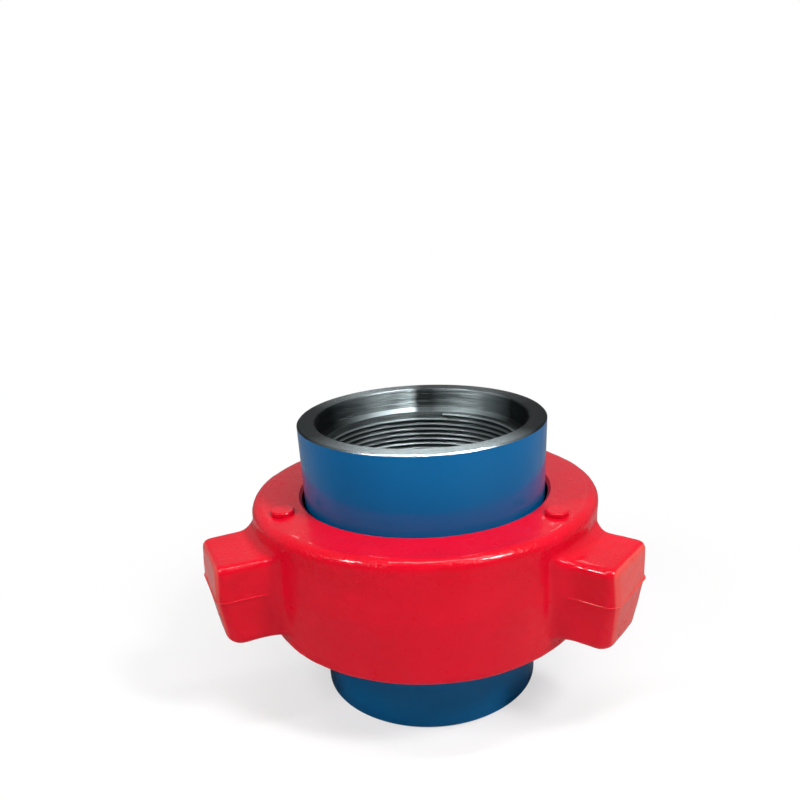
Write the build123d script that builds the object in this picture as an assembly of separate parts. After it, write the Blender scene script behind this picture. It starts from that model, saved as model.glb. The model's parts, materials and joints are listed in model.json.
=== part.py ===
from build123d import *
import os
from math import cos, radians, sin, sqrt, tan

# A hammer union: a lugged wing nut that draws a male sub down onto the seat of a female sub.
# Millimetres, +Z up. The origin is the centre of the female sub's lower end face,
# and the union is drawn made up, with the nut run fully home.

# ---------------------------------------------------------------- driving sizes

# Nominal 4 in line pipe, which screws into both subs
pipe_thread_root_radius = 57.2
pipe_thread_length = 35.6
pipe_recess_step = 2.3
pipe_recess_depth = 12.0
waterway_radius = 51.0
rim_break = 0.8

# How far a cutting outline runs past the face that it opens, and the slack in telling heights apart
overcut = 1.0
tolerance = 0.01

# Heights above the lower end face
overall_height = 167.0
nut_top_z = 125.0
nut_bottom_z = 52.5
parting_z = 91.0
female_top_z = 90.0
seal_bottom_z = 59.5

# Male sub
male_radius = 69.5
shoulder_clearance = 1.1
shoulder_height = 10.5
shoulder_chamfer = 1.5
neck_step = 7.0
seat_contact_radius = 66.0
seat_contact_z = 80.5
seat_half_angle = 30.0
nose_bottom_z = 68.5

# Female sub
female_radius = 66.2
female_end_chamfer = 1.6
female_neck_top_z = 45.0
thread_start_z = 57.5

# Coarse trapezoidal thread between the nut and the female sub, 3 threads to the inch, right hand
thread_pitch = 25.4 / 3
thread_major_radius = 83.0
thread_depth = 4.0
thread_flank_angle = 14.5
thread_flank_clearance = 0.15
thread_radial_clearance = 0.3
thread_sink = 0.5
thread_end_margin = 0.6
bore_chamfer = 1.2
head_chamfer = 1.0
relief_depth = 0.8

# Wing nut forging
nut_top_radius = 99.4
nut_parting_radius = 100.0
nut_bottom_radius = 96.3
nut_top_fillet = 5.5
nut_bottom_fillet = 3.0
nut_hole_clearance = 1.7
nut_hole_chamfer = 1.6
nut_lip_thickness = 15.0

# Hammer lugs: how far out they reach, half their width and their tip corners, at three heights
lug_count = 3
first_lug_angle = 84.3
lug_top_z = 111.2
lug_top_reach = 127.0
lug_top_half_width = 23.0
lug_top_corner = 5.0
lug_parting_reach = 128.8
lug_parting_half_width = 22.0
lug_parting_corner = 6.0
lug_bottom_z = 61.0
lug_bottom_reach = 125.5
lug_bottom_half_width = 19.0
lug_bottom_corner = 9.0

# How the lugs grow out of the nut's wall
lug_root_radius = 18.0
lug_ledge_radius = 8.0
lug_top_fillet = 4.0
lug_bottom_fillet = 7.0
lug_root_depth = 12.0
lug_root_bite = 1.5

# Round forged buttons on the nut's top face, one over each lug
button_radius = 6.4
button_height = 2.6
button_circle_radius = 84.6
button_fillet = 1.2
button_sink = 2.0

# Elastomer seal at the bottom of the female seat
seal_width = 9.2
seal_clearance = 0.1
seal_corner = 1.0

seat_clearance = 0.3


def turned(*points):
    """A solid turned about the Z axis from a closed outline of (radius, height) points."""
    outline = Polyline(*[(radius, 0, height) for radius, height in points], close=True)
    return revolve(make_face(outline), Axis.Z)


def turned_from_edges(edges):
    """A solid turned about the Z axis from edges that close an outline in the XZ plane."""
    return revolve(make_face(edges), Axis.Z)


def arc_between(centre, radius, start, end):
    """The shorter arc about this centre from one point to another."""
    middle = ((start - centre) + (end - centre)).normalized() * radius
    return ThreePointArc(start, centre + middle, end)


# ---------------------------------------------------------------- sealing faces

# The male nose is a zone of a sphere, which meets the female cone square to its slope.
slope = radians(seat_half_angle)
ball_radius = seat_contact_radius / cos(slope)
ball_centre_z = seat_contact_z + ball_radius * sin(slope)


def ball_height(radius):
    """Height of the ball nose's surface where it has this radius."""
    return ball_centre_z - sqrt(ball_radius**2 - radius**2)


def cone_radius(height):
    """Radius of the female seat, which stands off the ball nose by its clearance."""
    return seat_contact_radius + seat_clearance / cos(slope) + (height - seat_contact_z) * tan(slope)


# ---------------------------------------------------------------- pipe socket


def pipe_socket(mouth_z, inward):
    """The space that a pipe end takes: plain recess, lead-in chamfer, thread bore and run-out.

    inward is -1 where the socket runs down from its mouth and +1 where it runs up."""
    recess_radius = pipe_thread_root_radius + pipe_recess_step
    recess_end = mouth_z + inward * pipe_recess_depth
    thread_start = recess_end + inward * pipe_recess_step
    thread_end = thread_start + inward * pipe_thread_length
    bore_start = thread_end + inward * (pipe_thread_root_radius - waterway_radius)
    beyond = mouth_z - inward * overcut
    return turned(
        (0, beyond),
        (recess_radius + rim_break + overcut, beyond),
        (recess_radius, mouth_z + inward * rim_break),
        (recess_radius, recess_end),
        (pipe_thread_root_radius, thread_start),
        (pipe_thread_root_radius, thread_end),
        (waterway_radius, bore_start),
        (0, bore_start),
    )


# ---------------------------------------------------------------- nut thread

head_radius = thread_major_radius - thread_depth
bore_radius = thread_major_radius + thread_radial_clearance
nut_crest_radius = head_radius + thread_radial_clearance
pitch_width = thread_pitch / 2 - thread_flank_clearance
flank_slope = tan(radians(thread_flank_angle))
half_foot = pitch_width / 2 + thread_depth / 2 * flank_slope

# The middle of the ridge on the head runs between these heights, and the ridge inside the nut
# lies half a pitch below it, so that the two are in mesh.
head_thread_start_z = thread_start_z + half_foot + thread_end_margin
head_thread_end_z = female_top_z - half_foot - thread_end_margin
nut_thread_start_z = head_thread_start_z - thread_pitch / 2
nut_thread_end_z = head_thread_end_z


def thread_ridge(foot_radius, crest_radius, start_z, end_z):
    """A right-hand helical ridge, blunt at both ends, from its foot to its crest.

    Its foot is sunk a little into the wall that carries it. Either radius may be the larger."""
    outward = 1 if crest_radius > foot_radius else -1
    middle_radius = (foot_radius + crest_radius) / 2
    sunk_radius = foot_radius - outward * thread_sink
    foot = pitch_width / 2 + abs(middle_radius - sunk_radius) * flank_slope
    crest = pitch_width / 2 - abs(crest_radius - middle_radius) * flank_slope
    corners = [(sunk_radius, -foot), (crest_radius, -crest), (crest_radius, crest), (sunk_radius, foot)]
    rise = end_z - start_z
    helices = [
        Edge.make_helix(thread_pitch, rise, radius, center=(0, 0, start_z + offset))
        for radius, offset in corners
    ]
    sides = [
        Face.make_surface_from_curves(helix, helices[(number + 1) % len(helices)])
        for number, helix in enumerate(helices)
    ]
    ends = [
        Face(Wire.make_polygon([helix.position_at(share) for helix in helices], close=True))
        for share in (0, 1)
    ]
    return Solid(Shell(sides + ends))


# ---------------------------------------------------------------- male sub

shoulder_top_z = nut_top_z - nut_lip_thickness
shoulder_bottom_z = shoulder_top_z - shoulder_height
shoulder_radius = nut_crest_radius - shoulder_clearance
neck_radius = seat_contact_radius + neck_step
seal_outer_radius = waterway_radius + seal_width


def make_male_sub():
    """Upper half: pipe socket, collar that the nut's lip bears on, and ball nose."""
    nose_tip_radius = sqrt(ball_radius**2 - (ball_centre_z - nose_bottom_z) ** 2)
    neck_bottom_z = ball_height(neck_radius)
    middle_radius = (neck_radius + nose_tip_radius) / 2
    outer = Polyline(
        (neck_radius, 0, neck_bottom_z),
        (neck_radius, 0, shoulder_bottom_z),
        (shoulder_radius - shoulder_chamfer, 0, shoulder_bottom_z),
        (shoulder_radius, 0, shoulder_bottom_z + shoulder_chamfer),
        (shoulder_radius, 0, shoulder_top_z),
        (male_radius, 0, shoulder_top_z),
        (male_radius, 0, overall_height - rim_break),
        (male_radius - rim_break, 0, overall_height),
        (0, 0, overall_height),
        (0, 0, nose_bottom_z),
        (nose_tip_radius, 0, nose_bottom_z),
    )
    nose = ThreePointArc(
        (nose_tip_radius, 0, nose_bottom_z),
        (middle_radius, 0, ball_height(middle_radius)),
        (neck_radius, 0, neck_bottom_z),
    )
    body = turned_from_edges(outer.edges() + nose.edges())
    waterway = Cylinder(waterway_radius, 2 * overall_height)
    return body - waterway - pipe_socket(overall_height, -1)


# ---------------------------------------------------------------- female sub


def make_female_sub():
    """Lower half: pipe socket, threaded head that the nut runs on, cone seat and seal groove."""
    body = turned(
        (0, 0),
        (female_radius - female_end_chamfer, 0),
        (female_radius, female_end_chamfer),
        (female_radius, female_neck_top_z),
        (head_radius, thread_start_z),
        (head_radius, female_top_z - head_chamfer),
        (head_radius - head_chamfer, female_top_z),
        (0, female_top_z),
    )
    body += thread_ridge(head_radius, thread_major_radius, head_thread_start_z, head_thread_end_z)
    seat = turned(
        (0, seal_bottom_z),
        (seal_outer_radius, seal_bottom_z),
        (seal_outer_radius, nose_bottom_z),
        (cone_radius(nose_bottom_z), nose_bottom_z),
        (cone_radius(female_top_z + overcut), female_top_z + overcut),
        (0, female_top_z + overcut),
    )
    waterway = Cylinder(waterway_radius, 2 * overall_height)
    return body - waterway - seat - pipe_socket(0, 1)


# ---------------------------------------------------------------- seal ring


def make_seal_ring():
    """Elastomer ring in the female groove, flush with the waterway, that the nose presses on."""
    return turned(
        (waterway_radius, seal_bottom_z),
        (seal_outer_radius - seal_clearance - seal_corner, seal_bottom_z),
        (seal_outer_radius - seal_clearance, seal_bottom_z + seal_corner),
        (seal_outer_radius - seal_clearance, nose_bottom_z),
        (waterway_radius + seal_corner, nose_bottom_z),
        (waterway_radius, nose_bottom_z - seal_corner),
    )


# ---------------------------------------------------------------- wing nut


def body_radius(height):
    """Radius of the nut's drafted outer wall, which is widest at the parting plane."""
    if height > parting_z:
        share = (height - parting_z) / (nut_top_z - parting_z)
        return nut_parting_radius + share * (nut_top_radius - nut_parting_radius)
    share = (parting_z - height) / (parting_z - nut_bottom_z)
    return nut_parting_radius + share * (nut_bottom_radius - nut_parting_radius)


def lug_section(height, reach, half_width, corner):
    """Plan outline of a lug that points along +X, with rounded tip corners and flared sides.

    Each flare is an arc that leaves the lug's side and runs into the nut's wall, a little
    below its surface. The outline closes well inside the wall."""
    wall = body_radius(height) - lug_root_bite
    flare_y = half_width + lug_root_radius
    flare_x = sqrt((wall + lug_root_radius) ** 2 - flare_y**2)
    flare_centre = Vector(flare_x, flare_y, height)
    outward = Vector(flare_x, flare_y).normalized()
    root = outward * wall + Vector(0, 0, height)
    sunk = outward * (wall - lug_root_depth) + Vector(0, 0, height)
    side = Vector(flare_x, half_width, height)
    corner_centre = Vector(reach - corner, half_width - corner, height)
    corner_start = corner_centre + Vector(corner, 0)
    corner_end = corner_centre + Vector(0, corner)
    half = [
        arc_between(corner_centre, corner, corner_start, corner_end),
        Line(corner_end, side),
        arc_between(flare_centre, lug_root_radius, side, root),
        Line(root, sunk),
    ]
    other_half = [edge.mirror(Plane.XZ) for edge in half]
    inner = Line(sunk, Vector(sunk.X, -sunk.Y, height))
    tip = Line(Vector(reach, -corner_start.Y, height), corner_start)
    return make_face(half + [inner] + other_half + [tip])


def over_lug_ledge():
    """What lies above a lug: it leaves a flat ledge that curves up into the nut's wall."""
    wall = body_radius(lug_top_z) - lug_root_bite
    flat_start = wall + lug_ledge_radius
    blend_top_z = lug_top_z + lug_ledge_radius
    clear_radius = 2 * lug_parting_reach
    clear_z = blend_top_z + lug_ledge_radius
    blend = arc_between(
        Vector(flat_start, 0, blend_top_z),
        lug_ledge_radius,
        Vector(flat_start, 0, lug_top_z),
        Vector(wall, 0, blend_top_z),
    )
    outline = Polyline(
        (wall, 0, blend_top_z),
        (0, 0, blend_top_z),
        (0, 0, clear_z),
        (clear_radius, 0, clear_z),
        (clear_radius, 0, lug_top_z),
        (flat_start, 0, lug_top_z),
    )
    return turned_from_edges([blend] + outline.edges())


def is_ledge_rim(edge):
    """True for an edge along the ledge's outside. The arcs across the ledge are circles."""
    return edge.center().Z > lug_top_z - tolerance and edge.geom_type != GeomType.CIRCLE


def is_underside_rim(edge):
    """True for an edge round the lug's underside, outside the nut's wall."""
    reach = Vector(edge.center().X, edge.center().Y).length
    outside = reach > body_radius(lug_bottom_z) - 2 * lug_root_bite
    return outside and abs(edge.center().Z - lug_bottom_z) < tolerance


def make_lug():
    """One lug along +X, drafted up and down from the parting plane, with rounded outer edges."""
    over_z = lug_top_z + 2 * lug_ledge_radius
    over_share = (over_z - parting_z) / (lug_top_z - parting_z)
    over_reach = lug_parting_reach + over_share * (lug_top_reach - lug_parting_reach)
    over_half_width = lug_parting_half_width + over_share * (lug_top_half_width - lug_parting_half_width)
    sections = [
        lug_section(lug_bottom_z, lug_bottom_reach, lug_bottom_half_width, lug_bottom_corner),
        lug_section(parting_z, lug_parting_reach, lug_parting_half_width, lug_parting_corner),
        lug_section(over_z, over_reach, over_half_width, lug_top_corner),
    ]
    lug = loft(sections, ruled=True) - over_lug_ledge()
    lug = fillet(lug.edges().filter_by(is_ledge_rim), lug_top_fillet)
    return fillet(lug.edges().filter_by(is_underside_rim), lug_bottom_fillet)


def make_nut_blank():
    """The nut's drafted round body with its rounded upper and lower rims."""
    blank = turned(
        (0, nut_bottom_z),
        (nut_bottom_radius, nut_bottom_z),
        (nut_parting_radius, parting_z),
        (nut_top_radius, nut_top_z),
        (0, nut_top_z),
    )
    blank = fillet(blank.edges().group_by(Axis.Z)[-1], nut_top_fillet)
    return fillet(blank.edges().group_by(Axis.Z)[0], nut_bottom_fillet)


def make_button():
    """A low round button, with its top edge rounded, over the lug along +X."""
    height = button_height + button_sink
    middle_z = nut_top_z + button_height - height / 2
    button = Pos(button_circle_radius, 0, middle_z) * Cylinder(button_radius, height)
    return fillet(button.edges().group_by(Axis.Z)[-1], button_fillet)


def make_nut_bore():
    """The space inside the nut: bore of the thread, relief above it, and the hole in its lip."""
    relief_radius = bore_radius + relief_depth
    relief_start_z = female_top_z + relief_depth
    hole_radius = male_radius + nut_hole_clearance
    return turned(
        (0, nut_bottom_z - overcut),
        (bore_radius + bore_chamfer + overcut, nut_bottom_z - overcut),
        (bore_radius, nut_bottom_z + bore_chamfer),
        (bore_radius, relief_start_z),
        (relief_radius, relief_start_z + relief_depth),
        (relief_radius, shoulder_top_z),
        (hole_radius, shoulder_top_z),
        (hole_radius, nut_top_z - nut_hole_chamfer),
        (hole_radius + nut_hole_chamfer + overcut, nut_top_z + overcut),
        (0, nut_top_z + overcut),
    )


def make_wing_nut():
    """The nut forging: round body, three hammer lugs, three buttons, bored through."""
    nut = make_nut_blank()
    lug = make_lug()
    button = make_button()
    for number in range(lug_count):
        turn = Rot(0, 0, first_lug_angle + number * 360 / lug_count)
        nut += turn * lug
        nut += turn * button
    nut -= make_nut_bore()
    return nut + thread_ridge(bore_radius, nut_crest_radius, nut_thread_start_z, nut_thread_end_z)


os.makedirs("parts", exist_ok=True)
export_step(make_male_sub(), "parts/male_sub.step")
export_step(make_female_sub(), "parts/female_sub.step")
export_step(make_seal_ring(), "parts/seal_ring.step")
export_step(make_wing_nut(), "parts/wing_nut.step")
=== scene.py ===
"""Looks of a hammer union: forged red nut, enamelled subs, turned steel, pipe threads and a studio."""

import json
from math import cos, pi, radians, sin

import bmesh
import bpy
from mathutils import Matrix, Vector, noise


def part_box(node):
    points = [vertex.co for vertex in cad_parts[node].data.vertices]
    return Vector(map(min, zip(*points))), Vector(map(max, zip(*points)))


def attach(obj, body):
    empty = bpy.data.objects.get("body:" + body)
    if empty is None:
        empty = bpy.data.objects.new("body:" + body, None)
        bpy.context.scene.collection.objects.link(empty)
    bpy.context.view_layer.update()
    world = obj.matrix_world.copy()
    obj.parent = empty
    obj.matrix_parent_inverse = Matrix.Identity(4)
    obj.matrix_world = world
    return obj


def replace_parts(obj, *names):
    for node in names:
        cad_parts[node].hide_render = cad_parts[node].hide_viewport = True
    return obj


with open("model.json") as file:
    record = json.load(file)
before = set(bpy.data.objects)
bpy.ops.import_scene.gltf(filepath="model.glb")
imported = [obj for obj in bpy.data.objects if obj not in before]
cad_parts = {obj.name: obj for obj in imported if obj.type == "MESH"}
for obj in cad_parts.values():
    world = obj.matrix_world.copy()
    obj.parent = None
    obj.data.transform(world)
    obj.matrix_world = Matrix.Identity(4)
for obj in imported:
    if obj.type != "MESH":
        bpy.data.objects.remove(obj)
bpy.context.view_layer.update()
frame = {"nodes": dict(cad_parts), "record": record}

MM = 0.001

# ---------------------------------------------------------------- sizes

mounts = {mount["name"]: mount for mount in frame["record"]["mounts"]}

UNION_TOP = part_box("male_sub")[1].z
MALE_RADIUS = 69.5 * MM
COLLAR_TOP = 110.0 * MM
ENAMEL_BOTTOM = COLLAR_TOP + 0.5 * MM
ENAMEL_TOP = UNION_TOP - 0.8 * MM
FEMALE_ENAMEL_TOP = 53.5 * MM
SUB_BORE = 60.5 * MM

# The pipe threads, from the mounts. A mount's place is the middle of its thread.
PIPE_BORE = mounts["top_socket"]["dims"]["r_mm"] * MM
SOCKET_LENGTH = mounts["top_socket"]["dims"]["length_mm"] * MM
SOCKET_BOTTOMS = {
    name: mounts[name]["pos_m"][2] - SOCKET_LENGTH / 2 for name in ("top_socket", "bottom_socket")
}
PIPE_PITCH = 25.4 / 8 * MM

# The nut. Its shoulder is the round between the top face and the wall.
NUT_TOP = 125.0 * MM
NUT_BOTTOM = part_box("wing_nut")[0].z
PARTING = 91.0 * MM
HOLE_EDGE = 72.8 * MM
BORE_EDGE = 84.5 * MM
LIP_BOTTOM = 110.0 * MM
SHOULDER_START = 93.0 * MM
LUG_START = 104.0 * MM
LUG_TOP = 110.0 * MM
LUG_REACH = 128.8 * MM
LUG_DRAFT = 0.10
LUG_COUNT = 3
FIRST_LUG = radians(84.3)


# ---------------------------------------------------------------- shader graphs


class Wire:
    """A shader socket that can stand in a sum. Each operation adds the Math node for it."""

    def __init__(self, graph, socket):
        self.graph = graph
        self.socket = socket

    def math(self, operation, *values):
        inputs = dict(enumerate((self,) + values))
        return self.graph.add("ShaderNodeMath", {"operation": operation}, inputs)

    def __add__(self, other):
        return self.math("ADD", other)

    __radd__ = __add__

    def __sub__(self, other):
        return self.math("SUBTRACT", other)

    def __rsub__(self, other):
        inputs = {0: other, 1: self}
        return self.graph.add("ShaderNodeMath", {"operation": "SUBTRACT"}, inputs)

    def __mul__(self, other):
        return self.math("MULTIPLY", other)

    __rmul__ = __mul__

    def __truediv__(self, other):
        return self.math("DIVIDE", other)

    def __pow__(self, other):
        return self.math("POWER", other)

    def above(self, edge, blur):
        """0 below the edge and 1 above it, with a soft step as wide as the blur."""
        return self.graph.add(
            "ShaderNodeMapRange",
            {"interpolation_type": "SMOOTHSTEP"},
            {"Value": self, "From Min": edge - blur / 2, "From Max": edge + blur / 2},
        )

    def inside(self, low, high, blur):
        """1 between two edges and 0 outside them."""
        return self.above(low, blur) * (1 - self.above(high, blur))


class Graph:
    """A material's or world's node tree, with one method that makes any node."""

    def __init__(self, tree):
        self.tree = tree
        self.tree.nodes.clear()

    def add(self, kind, settings=None, inputs=None, output=0):
        """Makes a node, sets it, then sets or links its sockets, and returns one output."""
        node = self.tree.nodes.new(kind)
        for name, value in (settings or {}).items():
            if name == "stops":
                self.set_stops(node, value)
            else:
                setattr(node, name, value)
        for name, value in (inputs or {}).items():
            if isinstance(value, Wire):
                self.tree.links.new(value.socket, node.inputs[name])
            else:
                node.inputs[name].default_value = value
        return Wire(self, node.outputs[output]) if node.outputs else None

    def set_stops(self, node, stops):
        elements = node.color_ramp.elements
        while len(elements) < len(stops):
            elements.new(0.5)
        for element, (position, color) in zip(elements, stops):
            element.position = position
            element.color = color

    def place(self):
        """Object coordinates, in metres."""
        return self.add("ShaderNodeTexCoord", output="Object")

    def parts_of(self, vector):
        """The x, y and z of a vector, as three wires."""
        x = self.add("ShaderNodeSeparateXYZ", inputs={0: vector})
        outputs = x.socket.node.outputs
        return tuple(Wire(self, outputs[number]) for number in range(3))

    def noise(self, size, detail=2.0, roughness=0.5, at=None):
        """Noise whose lumps are about this size in metres."""
        where = at or self.place()
        inputs = {"Vector": where, "Scale": 1 / size, "Detail": detail, "Roughness": roughness}
        return self.add("ShaderNodeTexNoise", None, inputs)

    def blend(self, factor, first, second):
        """One colour turning into another with the factor."""
        node = self.tree.nodes.new("ShaderNodeMix")
        node.data_type = "RGBA"
        for name, value in ((0, factor), (6, first), (7, second)):
            if isinstance(value, Wire):
                self.tree.links.new(value.socket, node.inputs[name])
            else:
                node.inputs[name].default_value = value
        return Wire(self, node.outputs[2])

    def ramp(self, factor, levels):
        """A grey level read from a list of (place, level) stops."""
        stops = [(place, (level, level, level, 1.0)) for place, level in levels]
        return self.add("ShaderNodeValToRGB", {"stops": stops}, {0: factor})

    def bump(self, height, depth, strength=1.0, under=None):
        """A bump whose height of 1 stands this deep, in metres, over an earlier bump if there is one."""
        inputs = {"Height": height, "Distance": depth, "Strength": strength}
        if under is not None:
            inputs["Normal"] = under
        return self.add("ShaderNodeBump", None, inputs)

    def principled(self, **sockets):
        inputs = {name.replace("_", " "): value for name, value in sockets.items()}
        return self.add("ShaderNodeBsdfPrincipled", None, inputs)

    def finish(self, surface):
        self.add("ShaderNodeOutputMaterial", None, {"Surface": surface})


def grow(name, build, material, sizes, source=None):
    """Runs a Geometry Nodes tree over a source mesh and returns an object with the plain result."""
    tree = bpy.data.node_groups.new(name, "GeometryNodeTree")
    graph = Graph(tree)
    tree.interface.new_socket("Source", in_out="INPUT", socket_type="NodeSocketGeometry")
    identifiers = {
        size: tree.interface.new_socket(size, in_out="INPUT", socket_type="NodeSocketFloat").identifier
        for size in sizes
    }
    tree.interface.new_socket("Result", in_out="OUTPUT", socket_type="NodeSocketGeometry")
    entry = tree.nodes.new("NodeGroupInput")
    wires = {size: Wire(graph, entry.outputs[size]) for size in ["Source", *sizes]}
    result = graph.add("GeometryNodeRealizeInstances", None, {0: build(graph, wires)})
    result = graph.add("GeometryNodeSetMaterial", None, {"Geometry": result, "Material": material})
    graph.add("NodeGroupOutput", None, {"Result": result})

    holder = bpy.data.objects.new(name, source or bpy.data.meshes.new(name))
    bpy.context.collection.objects.link(holder)
    modifier = holder.modifiers.new(name, "NODES")
    modifier.node_group = tree
    for size, value in sizes.items():
        modifier[identifiers[size]] = value
    ready = holder.evaluated_get(bpy.context.evaluated_depsgraph_get())
    mesh = bpy.data.meshes.new_from_object(ready)
    holder.modifiers.clear()
    holder.data = mesh
    return holder


def rgb(red, green, blue):
    return (red, green, blue, 1.0)


def new_material(name, build):
    """A material whose shader the build function makes and returns."""
    material = bpy.data.materials.new(name)
    material.use_nodes = True
    graph = Graph(material.node_tree)
    graph.finish(build(graph))
    return material


# ---------------------------------------------------------------- finishes


def cylinder_place(graph):
    """Radius from the union's axis, height, and the share of a turn clockwise from the front."""
    x, y, z = graph.parts_of(graph.place())
    radius = (x * x + y * y) ** 0.5
    turn = x.math("ARCTAN2", y) * (0.5 / pi) + 0.5
    return radius, z, turn


def lug_ends(graph):
    """1 on the flat ends of the lugs, which draw in above and below the parting plane."""
    x, y, z = graph.parts_of(graph.place())
    radius = (x * x + y * y) ** 0.5
    sector = 2 * pi / LUG_COUNT
    share = ((y.math("ARCTAN2", x) - FIRST_LUG) / sector + 0.5).math("FRACT") - 0.5
    along = radius * (share * sector).math("COSINE")
    drawn_in = (z - PARTING).math("ABSOLUTE") * LUG_DRAFT
    return (along + drawn_in).above(LUG_REACH - 1.2 * MM, 1.0 * MM)


def nut_enamel(graph):
    """Glossy red enamel over a forged skin, with a painted pale reflection on the lugs' ends. The lathe has
    bared the bore.

    Orange peel is coarse on the shoulder and the lugs' tops, and fine elsewhere."""
    radius, z, turn = cylinder_place(graph)
    lumps = graph.noise(30 * MM, 3.0)
    skin = graph.noise(6.5 * MM, 4.0, 0.6)
    peel = graph.noise(1.6 * MM, 2.0)
    reflecting_ends = lug_ends(graph)
    color = graph.blend(lumps, rgb(0.54, 0.0008, 0.010), rgb(0.68, 0.0014, 0.020))
    # Painted reflection: the lugs' ends are painted a paler salmon, as though catching light from the sides
    color = graph.blend(reflecting_ends * (0.35 + skin * 0.5), color, rgb(0.72, 0.11, 0.085))
    upper = z.above(LUG_TOP, 8 * MM)
    coarse = 0.1 + upper * (0.3 + radius.above(SHOULDER_START, 2 * MM) * 0.8) * 0.9
    relief = graph.bump(skin, 0.4 * MM)
    relief = graph.bump(peel * coarse, 0.4 * MM, 1.0, relief)
    enamel = graph.principled(
        Base_Color=color,
        Roughness=0.24 + skin * 0.10,
        Normal=relief,
        Specular_IOR_Level=0.12,
        Coat_Weight=0.4,
        Coat_Roughness=0.05,
    )
    in_bore = 1 - radius.above(BORE_EDGE + 0.2 * MM, 0.3 * MM)
    machined = in_bore * (1 - z.above(NUT_TOP - 2 * MM, 0.6 * MM))
    return graph.add("ShaderNodeMixShader", None, {0: machined, 1: enamel, 2: turned_steel(graph)})


def sub_enamel(graph, deep, light):
    """Smooth glossy blue enamel over turned steel."""
    drift = graph.noise(50 * MM, 2.0)
    peel = graph.noise(2.2 * MM, 2.0)
    color = graph.blend(drift, deep, light)
    relief = graph.bump(peel, 0.05 * MM)
    return graph.principled(
        Base_Color=color,
        Roughness=0.20 + drift * 0.08,
        Normal=relief,
        Specular_IOR_Level=0.15,
        Coat_Weight=0.3,
        Coat_Roughness=0.08,
    )


# Painted reflection: how bright the bores and the flat faces are painted, standing in for the reflections of
# the lathe's rings, by the share of a turn clockwise from the front
BORE_PAINTED_SHEEN = [
    (0.00, 0.80),
    (0.10, 0.50),
    (0.18, 0.03),
    (0.32, 0.02),
    (0.40, 0.18),
    (0.46, 0.62),
    (0.485, 1.00),
    (0.497, 0.06),
    (0.52, 0.07),
    (0.56, 0.38),
    (0.63, 0.40),
    (0.68, 0.03),
    (0.80, 0.03),
    (0.90, 0.50),
    (1.00, 0.80),
]
FACE_PAINTED_SHEEN = [
    (0.00, 0.80),
    (0.06, 0.62),
    (0.11, 0.30),
    (0.17, 0.06),
    (0.30, 0.04),
    (0.36, 0.25),
    (0.41, 0.62),
    (0.47, 0.48),
    (0.49, 0.40),
    (0.505, 0.10),
    (0.54, 0.12),
    (0.60, 0.25),
    (0.66, 0.08),
    (0.72, 0.03),
    (0.84, 0.04),
    (0.90, 0.45),
    (0.95, 0.72),
    (1.00, 0.80),
]
THREAD_SHEEN = rgb(0.55, 0.55, 0.55)

# Radii between which the sockets' thread roots lie
ROOT_START = PIPE_BORE - 1.3 * MM
ROOT_END = PIPE_BORE + 0.2 * MM


def turned_steel(graph):
    """Bare machined steel: fine rings left by the lathe tool, with a painted reflection that fans out from
    the axis.

    The roots of the pipe threads are darkened with painted shade."""
    radius, z, turn = cylinder_place(graph)
    ring_place = graph.add("ShaderNodeCombineXYZ", None, {0: radius, 1: z, 2: turn * 0.002})
    rings = graph.noise(0.4 * MM, 2.0, 0.6, ring_place)
    bands = graph.noise(3 * MM, 2.0, 0.5, ring_place)
    wander = turn + bands * 0.008
    # Painted reflection: the steel's base colour is lighter and darker by azimuth, standing in for the
    # reflections of turned steel
    bore_painted_sheen = graph.ramp(wander, BORE_PAINTED_SHEEN)
    face_painted_sheen = graph.ramp(wander, FACE_PAINTED_SHEEN)
    inner = 1 - radius.above(SUB_BORE - 0.3 * MM, 0.6 * MM)
    top, bottom = (z.inside(low, low + SOCKET_LENGTH, 0.4 * MM) for low in SOCKET_BOTTOMS.values())
    threads = (1 - radius.above(ROOT_END, 0.2 * MM)) * (top + bottom)
    # Painted shade: the thread roots are darkened where shade falls in the grooves
    painted_root_shade = radius.inside(ROOT_START, ROOT_END, 0.8 * MM) * (top + bottom)
    painted_sheen = graph.blend(inner, face_painted_sheen, bore_painted_sheen)
    painted_sheen = graph.blend(threads * 0.75, painted_sheen, THREAD_SHEEN)
    color = graph.blend(painted_sheen, rgb(0.01, 0.012, 0.013), rgb(0.84, 0.97, 1.0))
    color = graph.blend(painted_root_shade * 0.8, color, rgb(0.012, 0.013, 0.013))
    relief = graph.bump(rings * (1 + inner * 3), 0.12 * MM)
    return graph.principled(
        Base_Color=color,
        Metallic=1.0,
        Specular_Tint=rgb(0.55, 0.55, 0.55),
        Roughness=0.22 + bands * 0.08 + inner * 0.12,
        Normal=relief,
    )


def male_sub_finish(graph):
    """Enamel on the outside of the upper sub, and bare steel on its rim, bore, collar and nose."""
    radius, z, turn = cylinder_place(graph)
    outside = radius.above(MALE_RADIUS - 0.5 * MM, 0.3 * MM)
    below_rim = 1 - z.above(ENAMEL_TOP, 0.3 * MM)
    above_collar = z.above(ENAMEL_BOTTOM, 0.6 * MM)
    painted = outside * below_rim * above_collar
    enamel = sub_enamel(graph, rgb(0.0, 0.088, 0.262), rgb(0.0, 0.122, 0.315))
    return graph.add("ShaderNodeMixShader", None, {0: painted, 1: turned_steel(graph), 2: enamel})


def female_sub_finish(graph):
    """Enamel on the outside of the lower sub, and bare steel on its thread, seat and bore."""
    radius, z, turn = cylinder_place(graph)
    outside = radius.above(SUB_BORE, 0.3 * MM)
    below_thread = 1 - z.above(FEMALE_ENAMEL_TOP, 0.6 * MM)
    painted = outside * below_thread
    # Painted shade: the lower sub's blue is a darker copy of the upper sub's enamel
    enamel = sub_enamel(graph, rgb(0.0, 0.073, 0.190), rgb(0.0, 0.092, 0.236))
    return graph.add("ShaderNodeMixShader", None, {0: painted, 1: turned_steel(graph), 2: enamel})


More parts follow.
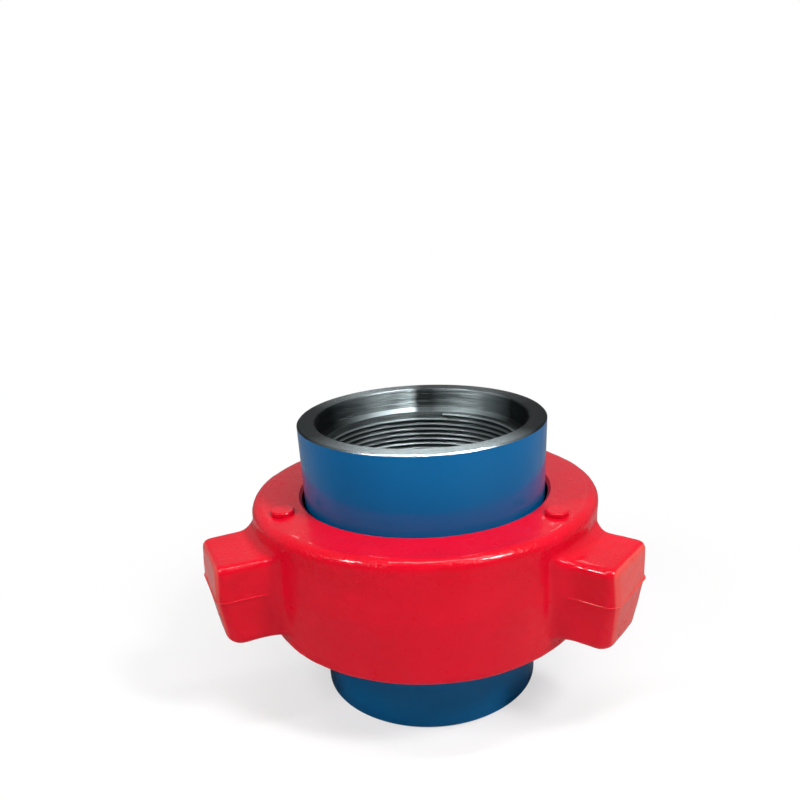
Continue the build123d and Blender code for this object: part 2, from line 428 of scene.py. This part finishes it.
def seal_rubber(graph):
    """Black nitrile rubber with a faint moulded bloom."""
    bloom = graph.noise(6 * MM, 3.0)
    grain = graph.noise(0.6 * MM, 2.0)
    color = graph.blend(bloom, rgb(0.012, 0.012, 0.012), rgb(0.035, 0.034, 0.033))
    return graph.principled(
        Base_Color=color,
        Roughness=0.45 + bloom * 0.2,
        Normal=graph.bump(grain, 0.04 * MM),
    )


NUT_ENAMEL = new_material("nut_enamel", nut_enamel)
MALE_FINISH = new_material("male_sub_finish", male_sub_finish)
FEMALE_FINISH = new_material("female_sub_finish", female_sub_finish)
SEAL_RUBBER = new_material("seal_rubber", seal_rubber)
THREAD_STEEL = new_material("thread_steel", turned_steel)


def refinish(node, material):
    """Gives a CAD node's object this material."""
    piece = frame["nodes"][node]
    piece.data.materials.clear()
    piece.data.materials.append(material)


refinish("male_sub", MALE_FINISH)
refinish("female_sub", FEMALE_FINISH)
refinish("seal_ring", SEAL_RUBBER)

# ---------------------------------------------------------------- forged nut

SKIN_MESH = 1.1 * MM
LUMP_SIZE = 24.0 * MM
LUMP_HEIGHT = 0.45 * MM
RIPPLE_SIZE = 8.0 * MM
RIPPLE_HEIGHT = 0.16 * MM
FADE = 3.0 * MM
BUTTON_CUT = 0.05 * MM
MERGE_DISTANCE = 0.001 * MM
ON_PARTING = 0.01 * MM
FLASH_STEP = 1.0 * MM
FLASH_BEAD = 0.55 * MM
FLASH_FADE = 4.0 * MM
FLASH_BREAKS = 4.0 * MM
CREASE_ANGLE = 35


def axis_distance(point):
    return Vector((point.x, point.y)).length


def machined_edge(point):
    """The radius at which the lathe's work ends and the forged skin starts, at this point's height."""
    return HOLE_EDGE if point.z > LIP_BOTTOM else BORE_EDGE


def is_skin(point):
    return axis_distance(point) > machined_edge(point) and point.z < NUT_TOP + BUTTON_CUT


def is_button(point):
    return point.z >= NUT_TOP + BUTTON_CUT


def is_machined(point):
    return not is_skin(point) and not is_button(point)


def nut_faces(mesh, wanted):
    """A new bmesh with the faces of a mesh whose middles are wanted."""
    work = bmesh.new()
    work.from_mesh(mesh)
    others = [face for face in work.faces if not wanted(face.calc_center_median())]
    bmesh.ops.delete(work, geom=others, context="FACES")
    return work


def even_mesh(mesh, size):
    """A mesh of the same form, made of even quads of this size."""
    holder = bpy.data.objects.new("even_mesh", mesh)
    bpy.context.collection.objects.link(holder)
    remesh = holder.modifiers.new("remesh", "REMESH")
    remesh.mode = "VOXEL"
    remesh.voxel_size = size
    ready = holder.evaluated_get(bpy.context.evaluated_depsgraph_get())
    result = bpy.data.meshes.new_from_object(ready)
    bpy.data.objects.remove(holder)
    return result


def nut_piece(name, work, sharp=180):
    """Turns a bmesh into an enamelled piece that rides the nut, smooth up to an angle in degrees."""
    mesh = bpy.data.meshes.new(name)
    work.to_mesh(mesh)
    work.free()
    mesh.shade_smooth()
    mesh.set_sharp_from_angle(angle=radians(sharp))
    mesh.materials.append(NUT_ENAMEL)
    piece = bpy.data.objects.new(name, mesh)
    bpy.context.collection.objects.link(piece)
    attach(piece, "wing_nut")
    return piece


def make_forged_skin():
    """The nut's outside, softened and left a little uneven by the forging dies."""
    mesh = even_mesh(frame["nodes"]["wing_nut"].data, SKIN_MESH)
    for vert in mesh.vertices:
        vert.co.z = min(vert.co.z, NUT_TOP)
    work = nut_faces(mesh, is_skin)
    inside = [vert for vert in work.verts if not vert.is_boundary]
    axes = {"use_axis_x": True, "use_axis_y": True, "use_axis_z": True}
    bmesh.ops.smooth_vert(work, verts=inside, factor=0.5, **axes)
    work.normal_update()
    for vert in work.verts:
        share = min(1.0, (axis_distance(vert.co) - machined_edge(vert.co)) / FADE)
        if vert.is_boundary:
            scale = machined_edge(vert.co) / axis_distance(vert.co)
            height = NUT_TOP if vert.co.z > LIP_BOTTOM else NUT_BOTTOM
            vert.co = Vector((vert.co.x * scale, vert.co.y * scale, height))
        elif share > 0:
            lump = noise.noise(vert.co / LUMP_SIZE) * LUMP_HEIGHT
            ripple = noise.noise(vert.co / RIPPLE_SIZE) * RIPPLE_HEIGHT
            vert.co += vert.normal * share * (lump + ripple)
    return nut_piece("nut_skin", work)


def make_true_piece(name, wanted):
    """A stretch of the nut that keeps its exact form, such as its machined bore or its buttons."""
    return nut_piece(name, nut_faces(frame["nodes"]["wing_nut"].data, wanted), sharp=CREASE_ANGLE)


def parting_outline():
    """The edges of the nut's mesh that lie in the parting plane, round its outside."""
    work = bmesh.new()
    work.from_mesh(frame["nodes"]["wing_nut"].data)
    bmesh.ops.remove_doubles(work, verts=work.verts, dist=MERGE_DISTANCE)
    off_line = [
        vert
        for vert in work.verts
        if abs(vert.co.z - PARTING) > ON_PARTING or axis_distance(vert.co) < BORE_EDGE
    ]
    bmesh.ops.delete(work, geom=off_line, context="VERTS")
    bmesh.ops.delete(work, geom=work.faces[:], context="FACES_ONLY")
    mesh = bpy.data.meshes.new("parting_outline")
    work.to_mesh(mesh)
    work.free()
    return mesh


def parting_flash(graph, sizes):
    """A broken bead of flash along each lug's parting line, thinning out toward the nut's wall."""
    position = graph.add("GeometryNodeInputPosition")
    x, y, z = graph.parts_of(position)
    distance = (x * x + y * y) ** 0.5
    near = distance.math("LESS_THAN", sizes["Start"])
    lines = graph.add(
        "GeometryNodeDeleteGeometry", {"domain": "POINT"}, {"Geometry": sizes["Source"], "Selection": near}
    )
    curve = graph.add("GeometryNodeMeshToCurve", None, {"Mesh": lines})
    curve = graph.add(
        "GeometryNodeResampleCurve", {"mode": "LENGTH"}, {"Curve": curve, "Length": sizes["Step"]}
    )
    broken = graph.noise(FLASH_BREAKS, 2.0, 0.5, position)
    fade = (distance - sizes["Start"]) / FLASH_FADE
    size = broken.above(0.5, 0.3) * 0.7 + 0.35
    curve = graph.add(
        "GeometryNodeSetCurveRadius", None, {"Curve": curve, "Radius": size * fade.math("MINIMUM", 1.0)}
    )
    profile = graph.add("GeometryNodeCurvePrimitiveCircle", None, {"Resolution": 8, "Radius": sizes["Bead"]})
    inputs = {"Curve": curve, "Profile Curve": profile, "Fill Caps": True}
    return graph.add("GeometryNodeCurveToMesh", None, inputs)


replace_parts(make_forged_skin(), "wing_nut")
make_true_piece("nut_bore", is_machined)
make_true_piece("nut_buttons", is_button)
flash = grow(
    "parting_flash",
    parting_flash,
    NUT_ENAMEL,
    {"Start": LUG_START, "Step": FLASH_STEP, "Bead": FLASH_BEAD},
    parting_outline(),
)
flash.data.shade_smooth()
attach(flash, "wing_nut")

# ---------------------------------------------------------------- pipe threads

# The ridge's half width as a share of the pitch, and how much of that is sunk in the wall
RIDGE_SIDE = 0.56
THREAD_SINK = 0.35
SEGMENTS_A_TURN = 120


def pipe_thread(graph, sizes):
    """A right-hand helical ridge of a V form inside a pipe socket, fading out at both ends."""
    turns = sizes["Length"] / sizes["Pitch"]
    inputs = {
        "Resolution": SEGMENTS_A_TURN,
        "Rotations": turns,
        "Start Radius": sizes["Radius"],
        "End Radius": sizes["Radius"],
        "Height": sizes["Length"],
        "Reverse": True,
    }
    curve = graph.add("GeometryNodeCurveSpiral", None, inputs)
    curve = graph.add("GeometryNodeSetCurveNormal", {"mode": "Z_UP"}, {"Curve": curve})
    along = graph.add("GeometryNodeSplineParameter", output=0)
    run_out = (along * turns * 2).math("MINIMUM", (1 - along) * turns * 2)
    curve = graph.add(
        "GeometryNodeSetCurveRadius", None, {"Curve": curve, "Radius": run_out.math("MINIMUM", 1.0)}
    )
    side = sizes["Pitch"] * RIDGE_SIDE
    profile = graph.add("GeometryNodeCurvePrimitiveCircle", None, {"Resolution": 3, "Radius": side})
    inward = {"Geometry": profile, "Rotation": (0, 0, pi)}
    profile = graph.add("GeometryNodeTransform", None, inward)
    inputs = {"Curve": curve, "Profile Curve": profile, "Fill Caps": True}
    ridge = graph.add("GeometryNodeCurveToMesh", None, inputs)
    lift = graph.add("ShaderNodeCombineXYZ", None, {2: sizes["Bottom"]})
    return graph.add("GeometryNodeTransform", None, {"Geometry": ridge, "Translation": lift})


def make_pipe_thread(socket, body):
    """Cuts a socket's thread along its whole length and lets it ride its sub."""
    sizes = {
        "Radius": PIPE_BORE - THREAD_SINK * PIPE_PITCH * RIDGE_SIDE,
        "Pitch": PIPE_PITCH,
        "Length": SOCKET_LENGTH - PIPE_PITCH,
        "Bottom": SOCKET_BOTTOMS[socket] + PIPE_PITCH / 2,
    }
    thread = grow(socket + "_thread", pipe_thread, THREAD_STEEL, sizes)
    thread.data.shade_smooth()
    thread.data.set_sharp_from_angle(angle=radians(CREASE_ANGLE))
    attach(thread, body)


make_pipe_thread("top_socket", "male_sub")
make_pipe_thread("bottom_socket", "female_sub")

# ---------------------------------------------------------------- studio

FLOOR_HALF = 6.0
STUDIO_DARK = 0.04
BACKDROP = 0.28
RIGHT_WALL = 0.12
SHADOW_END = 0.24

# Name, azimuth from the front toward the right, elevation, distance, width, height, watts and
# whether it shows in reflections
SOFTBOXES = [
    ("right_softbox", 50, 48, 1.0, 0.14, 0.22, 7.6, True),
    ("left_softbox", -55, 42, 1.0, 0.12, 0.22, 4.5, True),
    ("top_softbox", 10, 78, 0.9, 0.7, 0.05, 3.2, True),
    ("back_softbox", 180, 38, 1.0, 0.5, 0.2, 0.9, True),
    ("fill_softbox", -5, 12, 1.2, 0.8, 0.5, 0.8, False),
]


def studio_level(graph, x, y):
    """How bright the studio is in a direction: a pale backdrop behind, dark toward the camera."""
    back = y.above(0.10, 0.8)
    right = x.above(0.55, 0.7) * (1 - back)
    return STUDIO_DARK + back * BACKDROP + right * RIGHT_WALL


def white_floor(graph):
    """Pale floor, white to the camera with a soft shadow kept near the object, darker in reflections."""
    place = graph.place()
    x, y, z = graph.parts_of(place)
    distance = (x * x + y * y) ** 0.5
    grain = graph.noise(20 * MM, 2.0, 0.5, place)
    seen = graph.add("ShaderNodeLightPath", output="Is Camera Ray")
    mirrored = graph.add("ShaderNodeLightPath", output="Is Glossy Ray")
    paper = 1 - mirrored * (1 - studio_level(graph, x / distance, y / distance))
    color = graph.blend(paper, rgb(0.05, 0.05, 0.05), rgb(0.88, 0.88, 0.88))
    matt = graph.principled(Base_Color=color, Roughness=0.75 + grain * 0.1)
    white = graph.add("ShaderNodeEmission", None, {"Color": rgb(1, 1, 1), "Strength": 1.0})
    far = distance.above(SHADOW_END, SHADOW_END)
    return graph.add("ShaderNodeMixShader", None, {0: seen * (0.6 + far * 0.4), 1: matt, 2: white})


def make_floor():
    half = FLOOR_HALF
    mesh = bpy.data.meshes.new("floor")
    corners = [(-half, -half, 0), (half, -half, 0), (half, half, 0), (-half, half, 0)]
    mesh.from_pydata(corners, [], [(0, 1, 2, 3)])
    mesh.materials.append(new_material("white_floor", white_floor))
    floor = bpy.data.objects.new("floor", mesh)
    bpy.context.collection.objects.link(floor)


def make_world():
    """Soft light from the studio, and white to the camera."""
    world = bpy.data.worlds.new("studio")
    bpy.context.scene.world = world
    world.use_nodes = True
    graph = Graph(world.node_tree)
    direction = graph.add("ShaderNodeTexCoord", output="Generated")
    x, y, z = graph.parts_of(direction)
    level = studio_level(graph, x, y)
    seen = graph.add("ShaderNodeLightPath", output="Is Camera Ray")
    strength = seen + (1 - seen) * level
    light = graph.add("ShaderNodeBackground", None, {"Color": rgb(1, 1, 1), "Strength": strength})
    graph.add("ShaderNodeOutputWorld", None, {"Surface": light})


def make_softbox(name, azimuth, elevation, distance, width, height, power, mirrored):
    """A soft light aimed at the union's middle."""
    lamp = bpy.data.lights.new(name, "AREA")
    lamp.shape = "RECTANGLE"
    lamp.size = width
    lamp.size_y = height
    lamp.energy = power
    softbox = bpy.data.objects.new(name, lamp)
    bpy.context.collection.objects.link(softbox)
    turn, rise = radians(azimuth), radians(elevation)
    away = Vector((sin(turn) * cos(rise), -cos(turn) * cos(rise), sin(rise)))
    target = Vector((0, 0, UNION_TOP / 2))
    softbox.location = target + away * distance
    softbox.rotation_mode = "QUATERNION"
    softbox.rotation_quaternion = away.to_track_quat("Z", "Y")
    softbox.visible_glossy = mirrored


make_floor()
make_world()
for softbox_row in SOFTBOXES:
    make_softbox(*softbox_row)

# ---------------------------------------------------------------- camera

CAMERA_DISTANCE = 0.3983
CAMERA_ABOVE_RIM = 0.1129
CAMERA_SIDE = 0.0019
CAMERA_TILT = 25.61
CAMERA_ROLL = -2.23
SENSOR_WIDTH = 36.0
LENS = 32.82
SHIFT_X = -0.0375
SHIFT_Y = 0.175


def make_camera():
    camera_data = bpy.data.cameras.new("camera")
    camera_data.sensor_width = SENSOR_WIDTH
    camera_data.lens = LENS
    camera_data.shift_x = SHIFT_X
    camera_data.shift_y = SHIFT_Y
    camera_data.clip_start = 0.01
    camera = bpy.data.objects.new("camera", camera_data)
    bpy.context.collection.objects.link(camera)
    tilt, roll = radians(CAMERA_TILT), radians(CAMERA_ROLL)
    look = Matrix.Rotation(pi / 2 - tilt, 4, "X")
    camera.matrix_world = (
        Matrix.Translation((CAMERA_SIDE, -CAMERA_DISTANCE, UNION_TOP + CAMERA_ABOVE_RIM))
        @ look
        @ Matrix.Rotation(roll, 4, "Z")
    )
    bpy.context.scene.camera = camera


make_camera()
bpy.context.scene.view_settings.view_transform = "Standard"
